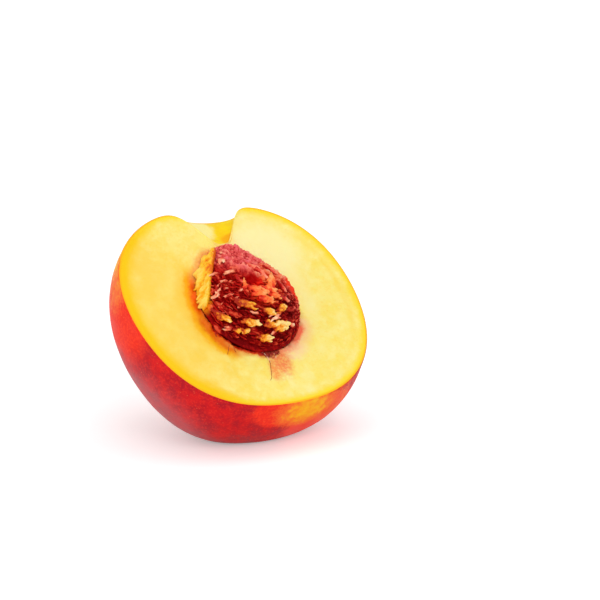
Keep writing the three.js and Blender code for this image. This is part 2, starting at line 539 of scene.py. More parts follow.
def stone_zones(p, low, high):
    """The stone's colour, from low in its grooves to high on its ridges, which changes over its surface:
    partly its own colour, partly painted shade in the grooves and a painted highlight on the ridges.
    """
    rough = p.wobble(p.noise(1.1, roughness=0.6, offset=2.0), 2.0)
    fine = p.wobble(p.noise(0.5, 2.0, stretch=(1, 1.6, 1)), 1.3)
    height = p.plus(p.attribute("height"), rough, fine)
    middle = (low + high) / 2

    def ramp(dark, mid, light):
        below = p.mix(p.step(height, low, middle), dark, mid)
        return p.mix(p.step(height, middle, high), below, light)

    colour = ramp((0.32, 0.001, 0.001), (0.56, 0.011, 0.006), (0.86, 0.11, 0.05))
    # Darker on the lower part, which turns away from the light: partly painted shade.
    lower = ramp((0.19, 0.0, 0.001), (0.38, 0.004, 0.003), (0.72, 0.06, 0.022))
    colour = p.patch(colour, lower, (-3, -13, 1), 19, 0.05, ragged=1.5, ragged_size=2.5)
    # Rosier and paler at the top, where the light falls: partly a painted highlight.
    rosy = p.mix(p.step(p.noise(2.5), 0.42, 0.62), (0.97, 0.27, 0.20), (0.90, 0.16, 0.18))
    top = ramp((0.50, 0.020, 0.024), (0.82, 0.11, 0.10), rosy)
    colour = p.patch(colour, top, (5, 16, 3), 15, 0.05, 0.4, ragged=2.0, ragged_size=3.0)
    shoulder = ramp((0.82, 0.07, 0.025), (0.96, 0.22, 0.10), (0.97, 0.42, 0.24))
    colour = p.patch(colour, shoulder, (10, 6.5, 6), 6.5, stretch=(1.0, 1.3, 1), ragged=1.5, ragged_size=2.0)
    right = ramp((0.28, 0.001, 0.002), (0.66, 0.05, 0.03), (0.92, 0.16, 0.11))
    colour = p.patch(
        colour, right, (12, -3, 4), 7.5, 0.05, stretch=(0.8, 1.4, 1), ragged=1.5, ragged_size=2.0
    )
    glow = p.spot((2.2, -1.2, 8), 6.5, (1.2, 0.9, 1.5), ragged=1.2, ragged_size=2.0)
    spear = p.spot((5.6, 2.6, 8), 4.2, (0.8, 1.2, 1.5), ragged=1.0, ragged_size=2.0)
    orange = ramp((0.60, 0.012, 0.002), (0.90, 0.085, 0.015), (0.97, 0.24, 0.07))
    colour = p.mix(p.step(p.math("MAXIMUM", glow, spear), 0.05, 0.6), colour, orange)
    # Darkest in the cleft at the dent low on the right: painted shade.
    cleft = ramp((0.12, 0.0, 0.001), (0.24, 0.003, 0.003), (0.50, 0.03, 0.02))
    colour = p.patch(
        colour, cleft, (8.4, -6.4, 6), 4.5, 0.05, 0.6, stretch=(0.7, 1.2, 1), ragged=0.6, ragged_size=1.5
    )
    keel, under_strip = (0.90, 0.055, 0.02), (0.93, 0.32, 0.006)
    colour = p.patch(colour, keel, (13.3, 0.5, 4), 5.5, 0.05, stretch=(0.35, 1.1, 1))
    colour = p.patch(colour, under_strip, (-13.4, 8, 1), 9, 0.05, 0.4, stretch=(0.35, 1.2, 0.8))
    hollow = p.patch((0.48, 0.001, 0.001), (0.97, 0.022, 0.008), (2.0, 2.6, 8.3), 3.4, 0.05)
    colour = p.patch(
        colour, hollow, (0.7, 3.8, 8), 3.9, 0.1, stretch=(1.0, 1.0, 2.0), ragged=0.5, ragged_size=1.5
    )
    arch = ramp((0.82, 0.06, 0.03), (0.96, 0.22, 0.12), (0.97, 0.40, 0.25))
    return p.patch(
        colour, arch, (4.2, 6.6, 7.5), 3.6, 0.1, 0.6, stretch=(0.8, 1.0, 1), ragged=0.8, ragged_size=1.5
    )


def stone_material():
    p = Paint("stone")
    normal = p.bump(p.noise(0.45, 4.0, 0.6, stretch=(1, 2.0, 1)), 0.6, 0.10)
    return p.finish(
        Base_Color=stone_zones(p, -1.25, -0.1), Roughness=0.6, Normal=normal, Specular_IOR_Level=0.05
    )


def fibre_material():
    p = Paint("stone_fibres")
    return p.finish(Base_Color=stone_zones(p, -0.8, 1.1), Roughness=0.55, Specular_IOR_Level=0.05)


def pulp_material(name, hidden, deep, middle, light):
    """Pulp that is darker low on the stone and paler on its tops: partly its own colour, partly painted shade
    at its base and a painted highlight on its tops.
    """
    p = Paint(name)
    patches = p.wobble(p.noise(1.2, roughness=0.6), 2.2)
    height = p.plus(p.attribute("height"), patches, p.attribute("tone"))
    colour = hidden
    for low, high, shade in ((0.0, 0.4, deep), (0.4, 0.9, middle), (0.9, 1.6, light)):
        colour = p.mix(p.step(height, low, high), colour, shade)
    return p.finish(
        Base_Color=colour, Roughness=0.45, Normal=p.bump(p.noise(0.35), 0.4, 0.06), Specular_IOR_Level=0.18,
        Subsurface_Weight=0.12, Subsurface_Radius=(1.0, 0.45, 0.15), Subsurface_Scale=0.8 * MM,
    )


def shred_material(name, dark, light):
    p = Paint(name)
    return p.finish(Base_Color=p.mix(p.noise(0.6), dark, light), Roughness=0.5, Specular_IOR_Level=0.12)


# ---- flesh and skin

COLUMNS = 512
CROWDING = 0.45                  # draws the columns together at the stem cavity
DOME_ROWS = 100
RIM_ROWS = 4
RIM_ROUNDING = 0.35
FACE_ROWS = 56
SOCKET_ROWS = 18
SOCKET_GAP = 0.12
STREAKS_AROUND = 18              # how closely the streaks lie round the stone
TORN_REACH = 2.2                 # how far from the stone the cut face is torn
RELIEF_FADE = 3.0                # how far from the rim the relief is at its full height
RESTING_EDGE = 0.3 * MM

# Sums of noises for the relief and the streaks: the height, the size and the seed of each.
CUT_WAVES = ((0.20, 11.0, 1), (0.08, 3.0, 2))
TORN_WAVES = ((0.35, 1.6, 3), (0.25, 0.7, 4))
SKIN_WAVES = ((0.14, 14.0, 5), (0.05, 4.0, 6))
STREAKS = ((0.45, (1.6, 9.0, 1.0), 7), (0.20, 3.0, 8))


def cut_height(points):
    """How far the wavy cut face stands out from the flat one: it is never above it."""
    return sunken_waves(points, CUT_WAVES)


def peach_half(skin, flesh):
    """One closed mesh, row by row: the cheek from its back to the rim, the cut face, and the socket."""
    around = np.arange(COLUMNS) * 2 * math.pi / COLUMNS - math.pi
    a = around - CROWDING * np.sin(around)
    back = CHEEK_DEPTH - GIRTH_DEPTH
    start = -math.asin((GIRTH_DEPTH - RIM_ROUNDING) / back)
    latitude = np.linspace(math.pi / 2, start, DOME_ROWS + 1)[1:]
    depth = (GIRTH_DEPTH + back * np.sin(latitude))[:, None]
    dome, carved = skin_point(a[None, :], depth)
    rim, rim_carved = skin_point(a, np.zeros_like(a))

    # The cut face runs from just inside the rim to the edge of the socket.
    socket_edge = stone_point(np.stack([np.sin(a), np.cos(a), np.zeros_like(a)], -1), SOCKET_GAP)
    reach = np.linalg.norm(socket_edge - rim, axis=-1)
    inset = RIM_ROUNDING / reach
    along = inset + (1 - inset) * np.linspace(0, 1, FACE_ROWS)[:, None]
    face = rim * (1 - along[..., None]) + socket_edge * along[..., None]
    from_rim = along * reach
    from_stone = (1 - along) * reach

    # A rounded edge joins the two.
    turn = (np.arange(1, RIM_ROWS + 1) / (RIM_ROWS + 1))[:, None, None]
    edge = (1 - turn) ** 2 * dome[-1] + 2 * turn * (1 - turn) * rim + turn**2 * face[0]

    down = np.linspace(0, math.pi / 2, SOCKET_ROWS + 2)[1:-1][:, None]
    ball = np.stack([np.sin(a) * np.cos(down), np.cos(a) * np.cos(down), -np.sin(down) * np.ones_like(a)], -1)
    socket = stone_point(ball, SOCKET_GAP)

    # Relief: a slightly wavy cut that is torn round the stone, and shallow lumps in the skin. Only what is
    # torn may stand out of the smooth shape.
    radial = np.stack([a * STREAKS_AROUND + 0 * along, from_rim, 0 * from_rim], -1)
    streaks = 0.5 + waves(radial, STREAKS)
    torn = np.exp(-from_stone / TORN_REACH) * waves(face, TORN_WAVES)
    face[..., 2] += (cut_height(face) + torn) * smooth_step(0, RELIEF_FADE, from_rim)
    outwards = unit(dome - np.array([0, -3, -6]))
    dome += outwards * (sunken_waves(dome, SKIN_WAVES) * smooth_step(0, RELIEF_FADE, depth))[..., None]

    blocks = [dome, edge, face, socket]
    rows = sum(len(block) for block in blocks)
    back_pole, _ = skin_point(np.zeros(1), np.full(1, CHEEK_DEPTH))
    socket_pole = stone_point(np.array([[0.0, 0.0, -1.0]]), SOCKET_GAP)
    points = np.concatenate([*(block.reshape(-1, 3) for block in blocks), back_pole, socket_pole])
    is_flesh = np.repeat(np.arange(rows - 1) >= DOME_ROWS + RIM_ROWS // 2, COLUMNS)
    material_of_face = np.concatenate([np.zeros(COLUMNS, int), is_flesh.astype(int), np.ones(COLUMNS, int)])

    def spread(*values):
        """One value for each point, from those of the four blocks and the two poles."""
        on_blocks = [np.broadcast_to(value, block.shape[:2]).ravel() for value, block in zip(values, blocks)]
        return np.concatenate([*on_blocks, values[-2:]])

    obj = make_object(
        "peach_half_flesh_and_skin", points, closed_faces(rows, COLUMNS), [skin, flesh], material_of_face,
        from_rim=spread(0, 0, from_rim, reach, 0, 20),
        from_stone=spread(30, 30, from_stone, 0, 30, 0),
        carved=spread(carved, rim_carved, 0, 0, 0, 0),
        streaks=spread(0.5, 0.5, streaks, 0.5, 0.5, 0.5),
    )
    settle(obj.data)
    return obj


def settle(mesh):
    """Flattens what is below the surface that the half stands on, with a soft edge."""
    co = np.zeros(len(mesh.vertices) * 3)
    mesh.vertices.foreach_get("co", co)
    z = co[2::3]
    co[2::3] = np.where(z < 20 * RESTING_EDGE, (z + np.hypot(z, RESTING_EDGE)) / 2, z)
    mesh.vertices.foreach_set("co", co)
    mesh.update()


# ---- the stone

STONE_COLUMNS = 460
STONE_ROWS = 205
SWIRL_CENTRE = np.array([15.7, 20.4])     # the ridges run in arcs round this point of the cut face
SWIRL_RADIUS = 28.0                       # at which lengths along the ridges are true
RIDGE_SPACING = 3.7
FIRST_RIDGE = 31.0

# The relief's depths, where two are given at the stone's pointed end and its stem end, and the sizes of its
# cells across the ridges, along them and into the stone.
ROW_DEPTH = (0.85, 0.15)
GROOVE_DEPTH, GROOVE_CELLS = (0.70, 0.55), (1.7, 4.2, 2.2)
WRINKLE_DEPTH, WRINKLE_CELLS = 0.34, (0.8, 2.0, 1.0)
SHRED_HEIGHT, SHRED_CELLS = 0.25, (0.38, 1.5, 0.5)
SWELLING = (0.30, 2.6, 60)
RIDGES_WANDER, WANDER_SIZE = 0.9, 3.8
RELIEF_SUNK = 0.05

# Where the stone leaves the flesh, its relief fades and it is raised, so that it fills its socket.
HELD_LEVEL = 0.2
HELD_WIDTH = 0.9
HELD_FADE = 0.85
HELD_RISE = 0.22

# Broad hollows in the stone's front, and a swelling of negative depth: middle (x, y), radius and depth.
DENTS = (
    ((0.4, 3.9), 2.6, 1.7),
    ((8.0, -7.3), 2.0, 1.2),
    ((-7.2, 4.2), 2.6, 0.6),
    ((7.0, 12.6), 4.2, 1.3),
    ((3.0, 18.8), 4.0, -0.7),
)

# Ridges that stand out from the rest of the stone: a route of (x, y) on its front, half width and height.
RIDGES = (
    (((0.2, 9.3), (2.2, 8.0), (3.6, 6.8), (4.1, 5.3), (3.6, 3.2)), 0.8, 0.6),
    (((13.6, 4.4), (14.0, 0.0), (13.4, -4.5)), 1.3, 0.4),
    (((-3.6, 9.4), (-1.0, 9.0), (0.2, 9.3)), 0.8, 0.4),
)


def stem_end_share(x, y):
    """0 on the stone's coarse lower part and 1 on its finer upper one."""
    return smooth_step(2, 11, y + 0.4 * x)


def along_ridges(p):
    """Coordinates with their first axis across the stone's ridges and their second along them."""
    x, y = p[..., 0] - SWIRL_CENTRE[0], p[..., 1] - SWIRL_CENTRE[1]
    return np.stack([np.hypot(x, y), np.arctan2(x, -y) * SWIRL_RADIUS, p[..., 2]], -1)


def dented_stone(points):
    """The points brought onto the stone as its broad hollows shape it, and its outward directions there."""
    surface, outwards = on_stone(points)
    for centre, radius, depth in DENTS:
        away = np.linalg.norm(surface - stone_front(*centre), axis=-1)
        surface = surface - outwards * (depth * np.exp(-((away / radius) ** 2)))[..., None]
    return surface, outwards


def stone_relief(p):
    """How far the stone's rough surface stands out from the dented one."""
    q = along_ridges(p + RIDGES_WANDER * shift(p, WANDER_SIZE, 20))
    upper = stem_end_share(p[..., 0], p[..., 1])
    rows = (1 - np.cos(2 * math.pi * (q[..., 0] - FIRST_RIDGE) / RIDGE_SPACING)) / 2
    near, second = cell_noise(q, GROOVE_CELLS, 30)
    grooves = 1 - smooth_step(0.0, 0.40, second - near)
    near, second = cell_noise(q, WRINKLE_CELLS, 40)
    wrinkles = 1 - smooth_step(0.0, 0.45, second - near)
    shreds = np.abs(soft_noise(q, SHRED_CELLS, 50)) - 0.5
    relief = -np.interp(upper, (0, 1), ROW_DEPTH) * rows - np.interp(upper, (0, 1), GROOVE_DEPTH) * grooves
    relief += SHRED_HEIGHT * shreds - WRINKLE_DEPTH * wrinkles + waves(p, (SWELLING,))
    for route, width, height in RIDGES:
        corners = [stone_front(*place) for place in route]
        away = np.min([to_segment(p, a, b)[0] for a, b in zip(corners, corners[1:])], axis=0)
        near_ridge = np.exp(-((away / width) ** 2))
        relief = relief * (1 - 0.5 * near_ridge) + height * near_ridge
    return relief - RELIEF_SUNK


def stone(material):
    turned = np.linspace(0, 2 * math.pi, STONE_COLUMNS, endpoint=False)
    polar = (np.arange(STONE_ROWS) + 1) * math.pi / (STONE_ROWS + 1)
    # The columns lie closer together on the stone's front.
    polar, around = np.meshgrid(polar, turned + 0.5 * np.sin(turned), indexing="ij")
    ball = np.stack([np.sin(polar) * np.sin(around), np.cos(polar), -np.sin(polar) * np.cos(around)], -1)
    surface, outwards = dented_stone(stone_point(ball))
    height = stone_relief(surface)
    held = np.exp(-(((surface[..., 2] - HELD_LEVEL) / HELD_WIDTH) ** 2))
    points = surface + outwards * (height * (1 - HELD_FADE * held) + HELD_RISE * held)[..., None]
    poles = stone_point(np.array([[0.0, 1.0, 0.0], [0.0, -1.0, 0.0]]))
    return make_object(
        "peach_stone", np.concatenate([points.reshape(-1, 3), poles]),
        closed_faces(STONE_ROWS, STONE_COLUMNS, inside_out=True), [material],
        height=np.concatenate([height.ravel(), [0, 0]]),
    )


# ---- pulp that clings to the stone

SLIVER_RINGS = 11
SLIVER_SIDES = 8
SLIVER_SHAKE = 0.55                     # size of the bumps on a sliver
SHORTEST_TOOTH, LONGEST_TOOTH = 1.0, 2.2
FUSED_GRAIN = 0.13                      # size of the cells in which shreds grow together
FUSED_RELIEF = ((0.0175, 0.35, 80), (0.056, 1.0, 81))
TONE_ALONG_LUMP = 1.3                   # TONE_ALONG_LUMP = 1.3 # how much paler a lump's end is than its start: a painted highlight on the end, which mostly lies towards the light


class Slivers:
    """Many small tapered shreds, gathered into one mesh. Each lies on a surface that ground() gives."""

    def __init__(self, seed):
        self.random = np.random.default_rng(seed)
        self.points, self.faces, self.heights, self.lumps = [], [], [], []
        self.count = 0

    def add(self, start, end, half_width, thickness, ground=dented_stone, lift=(0.0, 0.3), bend=0.0, sunk=0.7,
            blunt=0.15, point=0.45, rough=0.12):
        """Adds a shred; blunt and point are the shares of its length in which its two ends taper."""
        s = np.linspace(0, 1, SLIVER_RINGS)
        base, normal = ground(start + (end - start) * s[:, None])
        side = np.cross(normal, np.gradient(base, axis=0))
        side /= np.linalg.norm(side, axis=-1, keepdims=True) + 1e-9
        length = np.linalg.norm(end - start)
        base = base + side * (bend * length * np.sin(math.pi * s))[:, None]
        taper = np.clip(s / blunt, 0.05, 1) ** 0.5 * np.clip((1 - s) / point, 0.02, 1) ** 0.7
        angle = np.linspace(0, 2 * math.pi, SLIVER_SIDES, endpoint=False)
        across = np.cos(angle) * (half_width * taper)[:, None]
        surface, outwards = ground(base[:, None, :] + side[:, None, :] * across[..., None])
        up = np.sin(angle)[None, :]
        rise = (lift[0] + (lift[1] - lift[0]) * s**1.5)[:, None]
        height = rise + np.where(up > 0, up * thickness, up * sunk) * taper[:, None]
        points = surface + outwards * height[..., None]
        shake = shift(points + self.random.uniform(0, 50, 3), SLIVER_SHAKE, 70)
        points = points + shake * rough * (0.4 + taper[:, None, None])
        level = np.clip(height / (thickness + max(lift)), -1, 1)
        self.points += [points.reshape(-1, 3), points[[0, -1]].mean(1)]
        self.heights += [level.ravel(), level[[0, -1]].mean(1)]
        self.faces += closed_faces(SLIVER_RINGS, SLIVER_SIDES, self.count)
        self.count += SLIVER_RINGS * SLIVER_SIDES + 2

    def lay(self, start, end, tone):
        """The two ends of a lump, given as (x, y) on the stone's front, and the direction across it."""
        a, b = stone_front(*start), stone_front(*end)
        self.lumps.append((a, b, tone))
        _, normal = on_stone((a + b) / 2)
        return a, b, unit(np.cross(normal, b - a))

    def clump(self, start, end, width, height, teeth, tone, spread=0.16, **how):
        """A torn lump: a low bed with teeth on it."""
        a, b, side = self.lay(start, end, tone)
        length = np.linalg.norm(b - a)
        r = self.random
        self.add(a, b, width * 0.42, height * 0.55, rough=0.25, blunt=0.3, point=0.4)
        for share in (np.arange(teeth) + 0.5) / teeth:
            turned = r.normal(0, spread)
            direction = math.cos(turned) * (b - a) / length + math.sin(turned) * side
            half = direction * np.clip(length * r.uniform(0.3, 0.5), SHORTEST_TOOTH, LONGEST_TOOTH) / 2
            middle = a + (b - a) * share + side * width * r.uniform(-0.36, 0.36)
            self.add(
                middle - half, middle + half, r.uniform(0.25, 0.45), height * r.uniform(0.5, 0.8),
                lift=(0.0, height * r.uniform(0.1, 0.5)), bend=r.uniform(-0.15, 0.15), rough=0.1, **how,
            )

    def flake(self, start, end, width, height, layers, tone):
        """Thin shreds beside and over each other."""
        a, b, side = self.lay(start, end, tone)
        r = self.random
        for share in (np.arange(layers) + 0.5) / layers - 0.5:
            offset = side * width * share
            self.add(
                a + (b - a) * r.uniform(-0.1, 0.15) + offset, b + (b - a) * r.uniform(-0.2, 0.1) + offset,
                width / layers * r.uniform(0.6, 0.8), height * r.uniform(0.4, 0.6),
                lift=(0.1, height * r.uniform(0.4, 0.9)), bend=r.uniform(-0.12, 0.12), sunk=0.35, rough=0.16,
            )

    def piece(self, name, material):
        points, heights = np.concatenate(self.points), np.concatenate(self.heights)
        return make_object(name, points, self.faces, [material], height=heights)

    def fused(self, name, material):
        """The shreds grown together into one skin, roughened, its height measured from the dented stone."""
        loose = self.piece("loose", material)
        modifier = loose.modifiers.new("fuse", "REMESH")
        modifier.mode = "VOXEL"
        modifier.voxel_size = FUSED_GRAIN * MM
        fused = loose.evaluated_get(bpy.context.evaluated_depsgraph_get()).to_mesh()
        points, normals = np.empty(len(fused.vertices) * 3), np.empty(len(fused.vertices) * 3)
        fused.vertices.foreach_get("co", points)
        fused.vertices.foreach_get("normal", normals)
        faces = [tuple(face.vertices) for face in fused.polygons]
        points = moved(points.reshape(-1, 3), FRUIT_TO_PART.inverted())
        normals = normals.reshape(-1, 3) @ np.array(FRUIT_TO_PART.to_3x3()) / MM
        old = loose.data
        bpy.data.objects.remove(loose)
        bpy.data.meshes.remove(old)
        points = points + normals * waves(points, FUSED_RELIEF)[:, None]
        surface, outwards = dented_stone(points)
        height = np.einsum("ij,ij->i", points - surface, outwards)
        return make_object(name, points, faces, [material], height=height, tone=self.tone(points))

    def tone(self, points):
        """How much paler each point is than its height says: by its lump, and more towards the lump's end,
        where the paling is a painted highlight.
        """
        nearest, tone = np.full(len(points), np.inf), np.zeros(len(points))
        for a, b, lump_tone in self.lumps:
            away, share = to_segment(points, a, b)
            tone = np.where(away < nearest, lump_tone + TONE_ALONG_LUMP * (share - 0.5), tone)
            nearest = np.minimum(away, nearest)
        return tone


# Clumps as (start, end, width, height, number of teeth, tone), in the order that they lie on the stone, from
# above. The start and the end are (x, y) on its front, and the tone says how pale they are. Flakes are given
# in the same way, with the number of their shreds.
YELLOW_CLUMPS = (
    ((-7.9, -1.2), (-3.0, -4.4), 2.4, 1.0, 11, -0.30),
    ((-1.4, -6.0), (2.0, -7.4), 1.9, 1.0, 9, 0.05),
    ((3.0, -7.1), (6.6, -6.1), 1.8, 1.0, 9, 0.10),
    ((-13.1, -0.4), (-10.4, -5.6), 2.0, 0.9, 12, -0.15),
    ((-7.7, -7.0), (-3.6, -9.2), 2.4, 1.3, 11, 0.00),
    ((-2.2, -9.9), (1.5, -10.4), 1.9, 1.0, 8, 0.05),
    ((0.3, -10.9), (5.2, -10.6), 3.3, 1.5, 16, 0.20),
    ((-10.2, -8.0), (-8.4, -9.3), 1.5, 0.9, 5, 0.10),
    ((-8.4, -9.2), (-6.7, -10.2), 1.4, 0.8, 5, 0.20),
    ((-4.4, -12.0), (-0.4, -13.5), 2.0, 0.9, 10, 0.35),
)
PINK_FLAKES = (
    ((-8.7, 6.3), (-7.5, 6.0), 0.5, 0.5, 1, 0.2),
    ((-6.9, 5.1), (-5.0, 5.1), 0.5, 0.5, 1, 0.1),
    ((-8.7, 3.5), (-7.1, 3.2), 0.5, 0.5, 1, 0.1),
    ((-8.8, 0.9), (-7.0, 0.9), 0.6, 0.5, 2, 0.0),
    ((-8.0, -0.7), (-6.0, -0.4), 0.5, 0.4, 1, 0.0),
    ((-10.3, 4.6), (-10.6, 2.5), 0.6, 0.5, 2, 0.1),
    ((-6.2, 1.1), (-4.5, 1.4), 0.5, 0.5, 1, 0.0),
    ((-2.8, 7.9), (-6.9, 7.6), 1.3, 0.9, 3, 0.1),
    ((-7.2, 8.8), (-10.0, 9.2), 0.9, 0.9, 2, 0.1),
    ((-4.2, 14.0), (-5.0, 11.4), 2.2, 0.7, 4, 0.3),
    ((-2.2, 16.8), (-3.2, 15.0), 1.0, 0.5, 2, 0.4),
    ((-6.3, 5.6), (-8.5, 5.9), 0.5, 0.5, 1, 0.1),
    ((-8.4, 5.2), (-10.8, 3.2), 1.3, 0.5, 4, 0.2),
    ((-10.0, 2.9), (-12.4, 2.5), 1.0, 0.6, 3, 0.3),
    ((-7.4, 1.5), (-10.0, 1.1), 0.8, 0.5, 2, 0.0),
    ((-2.4, -6.9), (-5.2, -5.4), 0.8, 0.8, 2, 0.3),
    ((2.2, -7.9), (-0.5, -8.5), 0.4, 0.5, 1, 0.2),
    ((4.5, -7.6), (1.2, -8.7), 0.4, 0.5, 1, 0.2),
    ((3.6, -9.1), (-0.9, -9.6), 0.5, 1.1, 1, 0.1),
    ((6.0, -11.3), (7.9, -10.3), 0.7, 0.9, 1, 0.4),
    ((-10.2, -7.6), (-12.2, -5.9), 0.9, 0.8, 2, 0.1),
    ((1.3, -12.1), (-1.1, -12.5), 0.5, 0.6, 1, 0.1),
    ((-10.3, -3.7), (-12.0, -2.4), 0.3, 0.4, 1, 0.0),
    ((-7.2, -3.1), (-8.1, -3.5), 0.5, 0.5, 1, 0.1),
    ((-10.4, -0.2), (-11.2, -0.6), 0.4, 0.5, 1, 0.1),
)
ORANGE_CLUMPS = (
    ((-3.6, 1.2), (-2.0, 4.8), 1.2, 0.7, 6, 0.45),
    ((-2.6, 1.4), (1.4, 0.2), 2.2, 0.7, 9, 0.35),
    ((-2.2, -0.6), (2.0, -1.6), 2.6, 0.8, 11, 0.45),
    ((1.4, 0.4), (5.4, -1.4), 2.6, 0.8, 11, 0.55),
    ((-0.8, -3.0), (3.2, -3.8), 2.4, 0.7, 10, 0.30),
    ((3.4, -0.8), (6.0, 4.0), 1.8, 0.8, 8, 0.60),
    ((4.6, -0.4), (7.2, 4.6), 1.5, 0.7, 7, 0.40),
    ((2.6, -2.4), (6.0, -2.8), 2.2, 0.7, 8, 0.35),
)
ROSE_CLUMPS = (
    ((-0.2, 9.6), (3.8, 7.0), 1.2, 0.7, 6, 0.1),
    ((3.2, 7.2), (4.6, 3.2), 1.1, 0.8, 6, 0.1),
    ((6.8, 8.0), (9.4, 4.4), 0.9, 0.4, 5, 0.2),
    ((-4.2, 6.2), (-2.9, 2.6), 0.8, 0.5, 4, 0.0),
    ((5.6, -2.6), (8.6, -4.6), 0.9, 0.5, 5, 0.0),
    ((7.6, 1.6), (8.9, -1.8), 0.8, 0.5, 5, 0.1),
)
# Each pulp's colours from low to high: partly its own colour, with painted shade in the low ones and a
# painted highlight in the highest.
PULP_COLOURS = {
    "strip": ((0.80, 0.16, 0.002), (0.92, 0.34, 0.004), (0.97, 0.53, 0.020), (0.98, 0.66, 0.10)),
    "yellow": ((0.38, 0.012, 0.001), (0.68, 0.12, 0.003), (0.95, 0.39, 0.020), (0.98, 0.70, 0.24)),
    "pink": ((0.46, 0.012, 0.005), (0.80, 0.13, 0.06), (0.94, 0.33, 0.18), (0.98, 0.60, 0.36)),
    "orange": ((0.62, 0.010, 0.001), (0.88, 0.060, 0.010), (0.97, 0.19, 0.035), (0.98, 0.38, 0.12)),
    "rose": ((0.50, 0.005, 0.004), (0.80, 0.060, 0.035), (0.94, 0.22, 0.12), (0.97, 0.40, 0.25)),
}


def on_face(points):
    """The points brought onto the cut face, and its outward direction."""
    level = points * (1, 1, 0)
    level[..., 2] = cut_height(level)
    return level, np.broadcast_to((0.0, 0.0, 1.0), points.shape)


# The strip of pulp along the stone's left flank: its edge where the knife passed and its torn one, as (x, y)
# on the stone's front at even steps from its top, and its torn points as (share of its length, half width as
# such a share, how far they reach).
STRIP_CUT = (
    (-2.3, 18.5), (-4.0, 16.4), (-5.6, 14.4), (-7.1, 12.4), (-8.2, 10.8), (-9.2, 9.3),
    (-10.2, 7.7), (-11.0, 6.2), (-11.9, 4.4), (-12.7, 2.8), (-13.5, 1.3),
)
STRIP_TORN = (
    (-3.1, 18.3), (-5.6, 16.8), (-7.6, 16.0), (-9.4, 14.3), (-10.8, 12.5), (-12.0, 10.8),
    (-12.9, 8.8), (-13.4, 6.8), (-13.9, 5.0), (-14.1, 3.2), (-13.9, 1.2),
)
STRIP_POINTS = (
    (0.17, 0.03, 0.8), (0.30, 0.03, 0.9), (0.38, 0.02, 0.5), (0.47, 0.04, 1.3), (0.52, 0.02, 0.7),
    (0.575, 0.04, 1.5), (0.63, 0.02, 0.6), (0.70, 0.03, 0.7), (0.80, 0.04, 1.1), (0.88, 0.03, 0.6),
)
STRIP_ROWS = 260
STRIP_COLUMNS = 34
STRIP_ON_STONE = 0.75            # share of its width that lies on the stone, where the points begin
SHORTEST_POINT = 0.3
LONGER_POINTS = 1.5
POINTS_LEAN = np.array([-0.85, -0.5, 0.0])
POINTS_RISE = 0.35
STRIP_BURIED = 0.6
STRIP_THICKNESS, STRIP_THINNEST = 0.75, 0.1
STRIP_LUMPS = ((0.75, (2.4, 0.8, 2.4), 90), (0.45, (1.1, 0.35, 1.1), 91))
STRIP_GRAIN = np.array([[0.8, -0.6, 0.0], [0.6, 0.8, 0.0], [0.0, 0.0, 1.0]])   # turns its lumps to slant


def yellow_strip(material):
    """Pulp left along the stone's left flank: straight where the knife passed, ragged towards the flesh."""
    down = np.linspace(0, 1, STRIP_ROWS)[:, None]
    across = np.linspace(0, 1, STRIP_COLUMNS)[None, :]

    def edge(route):
        places = np.linspace(0, 1, len(route))
        corners = np.array([stone_front(*corner) for corner in route])
        return np.stack([np.interp(down, places, corners[:, axis]) for axis in range(3)], -1)

    cut, torn = edge(STRIP_CUT), edge(STRIP_TORN)
    length = np.full_like(down, SHORTEST_POINT)
    for share, half_width, reach in STRIP_POINTS:
        length = np.maximum(length, LONGER_POINTS * reach * (1 - np.abs(down - share) / half_width))
    tip = torn + POINTS_LEAN * length[..., None]
    tip[..., 2] = cut_height(tip) + POINTS_RISE
    # It lies on the stone as far as its torn edge, and its points lie on the flesh.
    on_flank, outwards = dented_stone(cut + (torn - cut) * np.clip(across / STRIP_ON_STONE, 0, 1)[..., None])
    reached = np.clip((across - STRIP_ON_STONE) / (1 - STRIP_ON_STONE), 0, 1)[..., None]
    base = on_flank + (tip - torn) * reached
    outwards = unit(outwards + (0.0, 0.0, 1.5) * reached)
    # It is thin at its edges and its ends.
    thickness = np.maximum(STRIP_THICKNESS + waves(base @ STRIP_GRAIN, STRIP_LUMPS), STRIP_THINNEST)
    thickness *= np.clip(across / 0.06, 0, 1) ** 0.5 * (1 - 0.6 * smooth_step(0.7, 1, across))
    thickness *= np.clip(np.minimum(down, 1 - down) / 0.04, 0, 1) ** 0.5
    top = base + outwards * thickness[..., None]
    under = base - outwards * STRIP_BURIED
    under[:, -1] = top[:, -1]
    ring = np.concatenate([top, under[:, ::-1]], 1)
    points = np.concatenate([ring.reshape(-1, 3), ring[[0, -1]].mean(1)])
    # Deeper yellow along the upper part of its cut edge and at its top.
    upper_cut = smooth_step(0.55, 0.05, across) * smooth_step(0.62, 0.35, down)
    tone = 0.55 - upper_cut - 0.35 * smooth_step(0.24, 0.0, down)
    heights = np.concatenate([thickness, np.zeros_like(thickness)], 1)
    tones = np.concatenate([tone, tone[:, ::-1]], 1)
    return make_object(
        "pulp_strip", points, closed_faces(STRIP_ROWS, 2 * STRIP_COLUMNS), [material],
        height=np.concatenate([heights.ravel(), [0, 0]]), tone=np.concatenate([tones.ravel(), [0, 0]]),
    )


TUFT_SHREDS = 22
TUFT_MIDDLE = (0.3, -14.3)
TUFT_HALF_WIDTH = 3.0
TUFT_SAG = 0.9                   # how far the row of shreds sags in its middle
TUFT_FAN = 0.55


